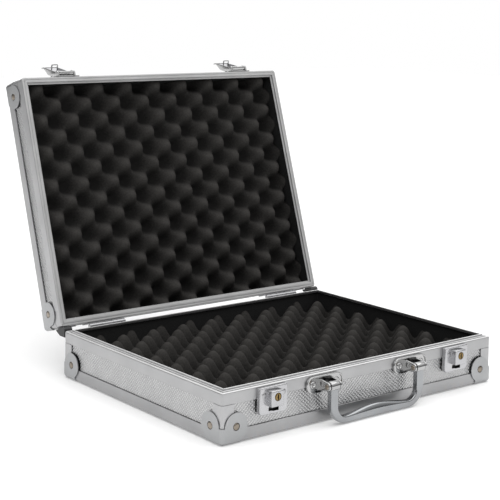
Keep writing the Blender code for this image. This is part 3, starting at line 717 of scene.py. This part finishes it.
def build_shell(name, place, height, rim_outline, land):
    """Build one shell's extrusions, panels, corner pieces and rivets."""
    wall_low = FOOT + SKIN + GAP
    wall_high = height - WALL_STOP - GAP
    rims = {length: sweep_side(rim_outline, length, ALUMINIUM, land) for length in (WIDTH, DEPTH)}
    for side, angle in SIDES:
        length, away = (WIDTH, DEPTH) if side in ("front", "back") else (DEPTH, WIDTH)
        turn = Matrix.Rotation(math.radians(angle), 4, "Z")
        outer_face = place @ turn @ Matrix.Translation((0, -away / 2, 0))
        at_rim = outer_face @ Matrix.Translation((0, 0, height))
        piece(named(name, "rim_extrusion", side), rims[length], at_rim, name,
              [named(name, "rim", side)])
        piece(named(name, "edge_extrusion", side), edge_shapes[length], outer_face, name,
              [f"{name}_edge_extrusion"])
        long = length - 2 * (PANEL_DEPTH + PANEL_THICKNESS + GAP)
        sheet = embossed_sheet(long, wall_high - wall_low)
        stand = Matrix.Rotation(math.radians(90), 4, "X")
        spot = Matrix.Translation((0, PANEL_DEPTH, (wall_low + wall_high) / 2))
        piece(named(name, "embossed", side), sheet, outer_face @ spot @ stand, name,
              [named(name, "panel", side)], 1)
    sheet = embossed_sheet(WIDTH - POST_LEG, DEPTH - POST_LEG)
    over = Matrix.Translation((0, 0, FOOT + SKIN + GAP)) @ Matrix.Rotation(math.pi, 4, "X")
    piece(f"{name}_embossed_outer", sheet, place @ over, name, [f"{name}_panel_outer"], 1)
    post = post_mesh(FOOT + EDGE_FACE + GAP, height - RIM_FACE - GAP)
    for corner, side_x, side_y, angle in CORNERS:
        turn = Matrix.Rotation(math.radians(angle), 4, "Z")
        spot = Matrix.Translation((side_x * WIDTH / 2, side_y * DEPTH / 2, 0))
        piece(named(name, "corner_post", corner), post, place @ spot @ turn, name,
              [named(name, "post", corner)])
        spot = Matrix.Translation((side_x * (WIDTH / 2 + FOOT), side_y * (DEPTH / 2 + FOOT), 0))
        piece(named(name, "corner_cap", corner), corner_shape, place @ spot @ turn, name,
              [named(name, "corner", corner)])
        piece(named(name, "rivets", corner), rivets_shape, place @ spot @ turn, name,
              [named(name, "corner", corner)], 50)


build_shell("base", BASE, BASE_HEIGHT, base_rim_outline(), BASE_LAND_PAINTED_LIGHT)
build_shell("lid", LID, LID_HEIGHT, lid_rim_outline(), LID_LAND)

foam_low = FOOT + SKIN + PANEL_THICKNESS + 0.001
# shell, its place, then the foam's top, depth, one peak's place and the pitch of the peaks
FOAMS = (("base", BASE, 0.054, 0.036, (-0.1775, -0.0118), (0.0255, 0.0458)),
         ("lid", LID, 0.041, 0.026, (0.1985, -0.0680), (0.0253, 0.0470)))
for shell, place, top, depth, start, pitch in FOAMS:
    liner = piece(f"{shell}_egg_crate_foam", foam_mesh(foam_low, top, depth, start, pitch),
                  place, shell, [f"{shell}_foam"], 180)
for shell, place, top in (("base", BASE, BASE_HEIGHT - 0.0018), ("lid", LID, LID_HEIGHT - 0.0047)):
    piece(f"{shell}_lining", lining_mesh(foam_low, top), place, shell, [f"{shell}_foam"])


# ---------------- locks
def lock_mesh():
    """Return a lock case about X = 0: the case's front face is Y = 0 and outwards is -Y."""
    half = LOCK_WIDTH / 2
    corner = 0.005
    outline = [(-half + 0.0012, LOCK_HIGH), (-half, LOCK_HIGH - 0.0012)]
    outline += arc((corner - half, LOCK_LOW + corner), corner, 180, 270, 8)
    outline += arc((half - corner, LOCK_LOW + corner), corner, 270, 360, 8)
    outline += [(half, LOCK_HIGH - 0.0012), (half - 0.0012, LOCK_HIGH)]
    plate = turned(slab(outline, GAP, LOCK_PROUD, LOCK_PLATE, 0.0011, 4, both=False), ALONG_Y)
    width, low, high = KEY_BOX
    box_half = width / 2
    middle = (low + high) / 2
    dish = lathe([(0, 0.0006), (0.0118, 0.0006), (0.0130, -0.0016), (0.0130, -0.003)],
                 (0, -LOCK_PROUD + 0.0018, middle), (0, 1, 0), CHROME, 64)
    key_box = box((-box_half, -KEY_BOX_PROUD, low), (box_half, -0.002, high), LOCK_PLATE, 0.0014, 4,
                  lambda edge: edge.calc_length() > 0.008
                  and not all(v.co.y > -0.003 for v in edge.verts))
    wall = 0.001
    # The hollow, the key box's room and the slot are cut with the black material: their faces are
    # painted shade inside the lock.
    hollow = box((wall - half, wall - LOCK_PROUD, LOCK_LOW + wall),
                 (half - wall, -0.0005, LOCK_HIGH - wall), BLACK_PLASTIC_AND_SHADE, corner - wall, 5,
                 lambda edge: all(v.co.z < 0.04 for v in edge.verts)
                 and abs(edge.verts[0].co.y - edge.verts[1].co.y) > 0.003)
    room = box((wall - box_half, 0.0012 - KEY_BOX_PROUD, low + wall),
               (box_half - wall, -0.001, high - wall), BLACK_PLASTIC_AND_SHADE)
    slot_half = 0.0078
    slot_points = [(-slot_half, SLOT_Z + 0.0024), (-slot_half, SLOT_Z - 0.0024),
                   (-0.0030, SLOT_Z - 0.0024), (0, SLOT_Z - 0.0034), (0.0030, SLOT_Z - 0.0030),
                   (slot_half, SLOT_Z - 0.0036), (slot_half, SLOT_Z + 0.0024)]
    slot = turned(slab(rounded(slot_points, 0.0007), 0.002, LOCK_PROUD + GAP, BLACK_PLASTIC_AND_SHADE), ALONG_Y)
    bore = rod(0.0051, (0, -KEY_BOX_PROUD - GAP, KEY_Z), (0, -0.008, KEY_Z), STEEL)
    lock = cut(joined(plate, key_box), hollow, room, slot, bore)
    heads = [lathe(rivet_profile(0.0036, 0.0009, 0.0008), (x, -LOCK_PROUD, 0.052), (0, -1, 0),
                   STEEL) for x in (-0.0148, 0.0148)]
    return joined(lock, *heads)


def plug_mesh():
    """Return a brass key plug with its keyway and cam, about the Y axis."""
    face = KEY_BOX_PROUD + 0.0005
    body = lathe([(0, 0.0), (0.0036, 0.0), (0.0044, -0.0006), (0.0044, -0.005)],
                 (0, -face, 0), (0, -1, 0), BRASS)
    ring = cut(rod(0.0040, (0, -face - 0.0001, 0), (0, -face + 0.0003, 0), BRASS),
               rod(0.0036, (0, -face - 0.001, 0), (0, -face + 0.001, 0), BRASS))
    tail = rod(0.0022, (0, -0.0095, 0), (0, -0.003, 0), BRASS, sides=24)
    cam = box((-0.0035, -0.0038, -0.002), (0.018, -0.0026, 0.002), STEEL, 0.0003, 2)
    cam = turned(cam, Matrix.Rotation(math.radians(15), 4, "Y"))
    # The keyway and its ward are cut with the black material: painted shade inside the keyway.
    keyway = box((-0.0009, -0.02, -0.0036), (0.0009, -0.0105, 0.0032), BLACK_PLASTIC_AND_SHADE)
    ward = box((-0.0015, -0.02, -0.0008), (0.0003, -0.0105, 0.0006), BLACK_PLASTIC_AND_SHADE)
    return cut(joined(body, tail, cam), ring, keyway, ward)


# ---------------- hasps
def hasp_plate_mesh():
    """Return the hasp's plate, ears and pin, about the hasp axis at the origin."""
    half = 0.0230
    face = HASP_OUT - GAP
    corners = [(-half, -0.0010), (-half, 0.0200), (half, 0.0200), (half, -0.0010)]
    outline = rounded(corners, 0.003, 5)
    plate = turned(slab(outline, -face, 0.0015 - face, HASP_METAL, 0.0004, 2, both=False), ALONG_Y)
    ears = []
    for sign in (-1, 1):
        near = sign * (HASP_WIDTH / 2 + 0.0005)
        far = near + sign * 0.003
        points = arc((0, 0), 0.0026, 90, 270, 10)
        points += [(face - 0.0008, -0.0026), (face - 0.0008, 0.0030)]
        ear = slab(points, *sorted((near, far)), HASP_METAL, 0.0003, 2)
        ears.append(turned(ear, ALONG_X))
    pin = rod(0.0011, (-0.0160, 0, 0), (0.0160, 0, 0), HASP_METAL, 0.0003, 24)
    heads = [lathe(rivet_profile(0.0021, 0.0007, 0.0005), (x, face - 0.0015, 0.0165), (0, -1, 0),
                   STEEL) for x in (-0.018, 0.018)]
    return joined(plate, *ears, pin, *heads)


def hasp_mesh():
    """Return a pressed hasp, closed: it hangs below the X axis and its open side faces +Y."""
    outer = [(0.0026, -0.0026), (0.0026, 0.0020), (0.0, 0.0034), (-0.0032, 0.0026),
             (-0.0093, -0.0090), (-0.0093, -0.0290), (-0.0026, -0.0420), (-0.0040, -0.0480),
             (-0.0026, -0.0484), (-0.0007, -0.0425), (-0.0007, -0.0050)]
    inner = [(0.0050, 0.0016), (-0.0019, 0.0016), (-0.0081, -0.0093), (-0.0081, -0.0286),
             (-0.0016, -0.0410), (0.0050, -0.0410)]
    half = HASP_WIDTH / 2
    cover = turned(slab(rounded(outer, 0.0012, 4), -half, half, HASP_METAL, 0.0009, 3), ALONG_X)
    room = turned(slab(rounded(inner, 0.0008, 3), 0.0012 - half, half - 0.0012, STEEL), ALONG_X)
    pin_hole = rod(0.0014, (-HASP_WIDTH, 0, 0), (HASP_WIDTH, 0, 0), STEEL, sides=24)
    key_z = KEY_Z - BASE_HEIGHT - HASP_UP
    key_hole = rod(0.006, (0, -0.012, key_z), (0, -0.006, key_z), STEEL, sides=48)
    cover = cut(cover, room, pin_hole, key_hole)
    staple_z = SLOT_Z - BASE_HEIGHT - HASP_UP
    wide = 0.0055
    tip = HASP_OUT - 0.0007
    loop = [(-wide, -tip), (-wide, 0.0078), (wide, 0.0078), (wide, -tip)]
    hole = [(0.0014 - wide, 0.0014 - tip), (0.0014 - wide, 0.0064), (wide - 0.0014, 0.0064),
            (wide - 0.0014, 0.0014 - tip)]
    flat = Matrix(((1, 0, 0, 0), (0, -1, 0, 0), (0, 0, 1, 0), (0, 0, 0, 1)))
    staple = slab(rounded(loop, 0.0022, 5), staple_z - 0.0008, staple_z + 0.0008, HASP_METAL,
                  0.0004, 2)
    window = slab(rounded(hole, 0.0012, 5), staple_z - 0.002, staple_z + 0.002, HASP_METAL)
    return joined(cover, cut(turned(staple, flat), turned(window, flat)))


lock_shape = lock_mesh()
plug_shape = plug_mesh()
plate_shape = hasp_plate_mesh()
hasp_shape = hasp_mesh()
for side, sign in (("left", -1), ("right", 1)):
    on_face = Matrix.Translation((sign * LOCK_X, FRONT, 0))
    piece(f"lock_{side}", lock_shape, on_face, "base", [f"lock_case_{side}"])
    piece(f"brass_plug_{side}", plug_shape, on_face @ Matrix.Translation((0, 0, KEY_Z)),
          f"key_{side}", [f"key_plug_{side}"])
    on_lid = LID_CLOSED @ Matrix.Translation((sign * LOCK_X, -DEPTH / 2 - HASP_OUT, HASP_UP))
    piece(f"hasp_base_{side}", plate_shape, on_lid, "lid", [f"hasp_plate_{side}"])
    piece(f"hasp_cover_{side}", hasp_shape, on_lid @ Matrix.Rotation(-HASP_OPEN, 4, "X"),
          f"hasp_{side}", [f"hasp_{side}"])


# ---------------- handle
def handle_stations():
    """Return (outer point, inner point, crown) along the handle, in XZ from the pivot line."""
    outer = HANDLE_X + ARM_WIDTH / 2
    inner = HANDLE_X - ARM_WIDTH / 2
    bend = 0.026
    inner_bend = 0.014
    bottom = -HANDLE_DROP
    stations = []
    for step in range(5):
        z = (bottom + bend) * step / 5
        stations.append(((outer, z), (inner, z), 0))
    centre_out = (outer - bend, bottom + bend)
    centre_in = (inner - inner_bend, bottom + GRIP_END + inner_bend)
    for far, near in zip(arc(centre_out, bend, 0, -90, 12),
                         arc(centre_in, inner_bend, 0, -90, 12)):
        stations.append((far, near, 0))
    reach = centre_in[0]
    steps = 12
    for step in range(1, steps + 1):
        x = reach * (1 - step / steps)
        rise = math.cos(math.pi / 2 * x / reach) ** 1.3
        stations.append(((x, bottom), (x, bottom + GRIP_END + GRIP_ARCH * rise), rise))
    mirror = [((-far[0], far[1]), (-near[0], near[1]), crown)
              for far, near, crown in stations[:-1]]
    return stations + mirror[::-1]


def handle_section(span, crown):
    """Return the grip's section as (distance from the outer edge, offset from front to back)."""
    half = ARM_THICKNESS / 2
    points = [(0.0, -half), (span, -half), (span, half), (0.0, half)]
    outline = rounded(points, 0.0024 + 0.0016 * crown, 6)
    shaped = []
    for u, v in outline:
        if u > span / 2:
            share = (u - span / 2) / (span / 2)
            u += share * 0.0014 * crown * (1 - (v / half) ** 2)
            u -= share * 0.0030 * crown * max(0.0, -v / half) ** 2
        shaped.append((u, v))
    return shaped


def handle_mesh():
    """Return the cast handle, hanging from the X axis, with its two barrels."""
    shape = bmesh.new()
    rings = []
    for outer, inner, crown in handle_stations():
        start = Vector((outer[0], 0, outer[1]))
        across = Vector((inner[0], 0, inner[1])) - start
        ring = [shape.verts.new(start + across.normalized() * u + Vector((0, v, 0)))
                for u, v in handle_section(across.length, crown)]
        rings.append(ring)
    bridge(shape, rings)
    shape.faces.new(rings[0])
    shape.faces.new(list(reversed(rings[-1])))
    grip = to_mesh(shape, SATIN)
    half = BARREL_WIDTH / 2
    for sign in (-1, 1):
        centre = sign * HANDLE_X
        grip = joined(grip, rod(BARREL_RADIUS, (centre - half, 0, 0), (centre + half, 0, 0), CHROME,
                                0.0008, 48))
        grip = cut(grip, rod(HANDLE_PIN + GAP, (centre - 2 * half, 0, 0), (centre + 2 * half, 0, 0),
                             STEEL, sides=24))
    return grip


def bracket_mesh():
    """Return a handle bracket: a dished stadium plate, a fork, a pin and two rivets."""
    half = 0.0295
    end = 0.0105
    back = PIVOT_OUT - GAP
    border = 0.0016

    def stadium(shrink):
        """Return the plate's outline, drawn in by a distance."""
        return (arc((half - end, 0), end - shrink, -90, 90, 14)
                + arc((end - half, 0), end - shrink, 90, 270, 14))

    plate = turned(slab(stadium(0), -back, 0.0032 - back, CHROME, 0.0007, 3, both=False), ALONG_Y)
    dish = turned(slab(stadium(border), 0.0018 - back, 0.0040 - back, CHROME), ALONG_Y)
    plate = cut(plate, dish)
    parts = []
    for sign in (-1, 1):
        near = sign * (BARREL_WIDTH / 2 + 0.0011)
        far = sign * (BARREL_WIDTH / 2 + 0.0039)
        nose = arc((0, 0), 0.0055, 80, 280, 14)
        points = nose + [(back - 0.001, -0.0078), (back - 0.001, 0.0078)]
        parts.append(turned(slab(points, *sorted((near, far)), CHROME, 0.0007, 4), ALONG_X))
        parts.append(lathe(rivet_profile(0.0034, 0.0010, 0.0004), (far, 0, 0), (sign, 0, 0), RIVET))
    reach = BARREL_WIDTH / 2 + 0.002
    parts.append(rod(HANDLE_PIN, (-reach, 0, 0), (reach, 0, 0), CHROME, sides=24))
    for x in (-0.0190, 0.0190):
        ring = [(0, 0.0002), (0.0014, 0.0004), (0.0022, 0.0013), (0.0034, 0.0015), (0.0044, 0.0010),
                (0.0049, 0.0002), (0.0050, -0.0004)]
        parts.append(lathe(ring, (x, back - 0.0018, 0), (0, -1, 0), CHROME))
    return joined(plate, *parts)


piece("handle_casting", handle_mesh(), Matrix.Translation(PIVOT), "handle", ["handle"],
      40)
bracket_shape = bracket_mesh()
for side, sign in (("left", -1), ("right", 1)):
    spot = Matrix.Translation(PIVOT + Vector((sign * HANDLE_X, 0, 0)))
    piece(f"bracket_{side}", bracket_shape, spot, "base", [f"handle_bracket_{side}"])


# ---------------- CAD nodes that stay
def dress(node, material):
    """Give a CAD node a finished material."""
    mesh = frame["nodes"][node].data
    mesh.materials.clear()
    mesh.materials.append(material)
    mesh.shade_smooth()
    mesh.set_sharp_from_angle(angle=math.radians(SMOOTH_ANGLE))


for side in ("left", "right"):
    dress(f"hinge_base_leaf_{side}", STEEL)
    dress(f"hinge_lid_leaf_{side}", STEEL)
    dress(f"hinge_pin_{side}", CHROME)
    dress(f"lid_rest_{side}", BLACK_PLASTIC_AND_SHADE)


# ---------------- studio
# name, place, size and power of the area lights
AREA_LIGHTS = (("key", (-1.3, -1.5, 1.9), 0.9, 7), ("fill", (2.0, -0.8, 1.8), 1.2, 2))
SUN_FROM = (0.25, -0.1, 2.1)
SUN_STRENGTH = 1.42
SUN_SPREAD = 75                  # degrees; wide, so that shadows are soft
AIM = (0, 0, 0.15)               # the lights point at the middle of the case
FLOOR_DROP = 0.0003              # keeps the floor clear of the faces that stand on it
# parts of the surround: the way to the middle, where the glow starts and is full, and its strength
SURROUND = (((0, 0, 1), 0.10, 0.60, 0.62), ((0.60, 0.79, 0.15), 0.70, 0.98, 0.85))
SURROUND_LEAST = 0.10


def build_stage():
    """Make the floor and the lights."""
    shape = bmesh.new()
    bmesh.ops.create_grid(shape, x_segments=1, y_segments=1, size=6)
    floor_material, shader = principled("pale_floor", (0.86, 0.86, 0.86), 0.0, 0.9)
    shader.inputs["Specular IOR Level"].default_value = 0.0
    shader.inputs["Emission Color"].default_value = (1, 1, 1, 1)
    shader.inputs["Emission Strength"].default_value = 0.20
    floor = bpy.data.objects.new("floor", to_mesh(shape, floor_material))
    floor.location.z = -FLOOR_DROP
    bpy.context.scene.collection.objects.link(floor)
    for name, spot, size, power in AREA_LIGHTS:
        light = bpy.data.lights.new(name, "AREA")
        light.shape = "SQUARE"
        light.size = size
        light.energy = power
        add_lamp(light, spot)
    overhead = bpy.data.lights.new("overhead", "SUN")
    overhead.energy = SUN_STRENGTH
    overhead.angle = math.radians(SUN_SPREAD)
    add_lamp(overhead, SUN_FROM)


def add_lamp(light, spot):
    """Place a light that points at the middle of the case."""
    lamp = bpy.data.objects.new(light.name, light)
    lamp.location = spot
    lamp.rotation_euler = (Vector(AIM) - Vector(spot)).to_track_quat("-Z", "Y").to_euler()
    bpy.context.scene.collection.objects.link(lamp)


def build_world():
    """Surround the case with a pale ceiling and a pale wall; the backdrop itself is plain white."""
    world = bpy.data.worlds.new("studio")
    bpy.context.scene.world = world
    world.use_nodes = True
    nodes = world.node_tree.nodes
    links = world.node_tree.links
    coordinates = nodes.new("ShaderNodeTexCoord")
    strengths = []
    for direction, low, high, strength in SURROUND:
        facing = nodes.new("ShaderNodeVectorMath")
        facing.operation = "DOT_PRODUCT"
        facing.inputs[1].default_value = direction
        links.new(coordinates.outputs["Generated"], facing.inputs[0])
        glow = nodes.new("ShaderNodeMapRange")
        glow.interpolation_type = "SMOOTHSTEP"
        glow.inputs["From Min"].default_value = low
        glow.inputs["From Max"].default_value = high
        glow.inputs["To Min"].default_value = SURROUND_LEAST
        glow.inputs["To Max"].default_value = strength
        links.new(facing.outputs["Value"], glow.inputs["Value"])
        strengths.append(glow.outputs["Result"])
    total = nodes.new("ShaderNodeMath")
    total.operation = "ADD"
    links.new(strengths[0], total.inputs[0])
    links.new(strengths[1], total.inputs[1])
    surround = nodes["Background"]
    surround.inputs["Color"].default_value = (1, 1, 1, 1)
    links.new(total.outputs["Value"], surround.inputs["Strength"])
    backdrop = nodes.new("ShaderNodeBackground")
    backdrop.inputs["Color"].default_value = (1, 1, 1, 1)
    rays = nodes.new("ShaderNodeLightPath")
    choose = nodes.new("ShaderNodeMixShader")
    links.new(rays.outputs["Is Camera Ray"], choose.inputs["Fac"])
    links.new(surround.outputs["Background"], choose.inputs[1])
    links.new(backdrop.outputs["Background"], choose.inputs[2])
    links.new(choose.outputs["Shader"], nodes["World Output"].inputs["Surface"])


def build_camera():
    """Place the camera in front of the case, to its left and a little above it.

    Its distance from the case's foot and its slide to the right and up are in case widths.
    """
    azimuth = math.radians(-37.4551)
    elevation = math.radians(6.5063)
    roll = math.radians(0.6965)
    distance = 3.9063 * WIDTH
    slide = (-0.1824 * WIDTH, 0.6770 * WIDTH)
    focal = 2.6407           # focal length over the sensor's width
    right = Vector((math.cos(azimuth), math.sin(azimuth), 0))
    back = Vector((math.sin(azimuth) * math.cos(elevation),
                   -math.cos(azimuth) * math.cos(elevation), math.sin(elevation)))
    up = back.cross(right)
    level = math.cos(roll) * right + math.sin(roll) * up
    upright = math.cos(roll) * up - math.sin(roll) * right
    camera = bpy.data.cameras.new("camera")
    camera.sensor_width = 36
    camera.lens = 36 * focal
    camera.shift_x = 0.07
    camera.shift_y = -0.20
    camera.dof.use_dof = False
    thing = bpy.data.objects.new("camera", camera)
    place = level * slide[0] + upright * slide[1] + back * distance + Vector((0, CENTRE_Y, 0))
    turn = Matrix((level, upright, back)).transposed().to_4x4()
    thing.matrix_world = Matrix.Translation(place) @ turn
    bpy.context.scene.collection.objects.link(thing)
    bpy.context.scene.camera = thing


build_stage()
build_world()
build_camera()
bpy.context.scene.view_settings.view_transform = "Standard"
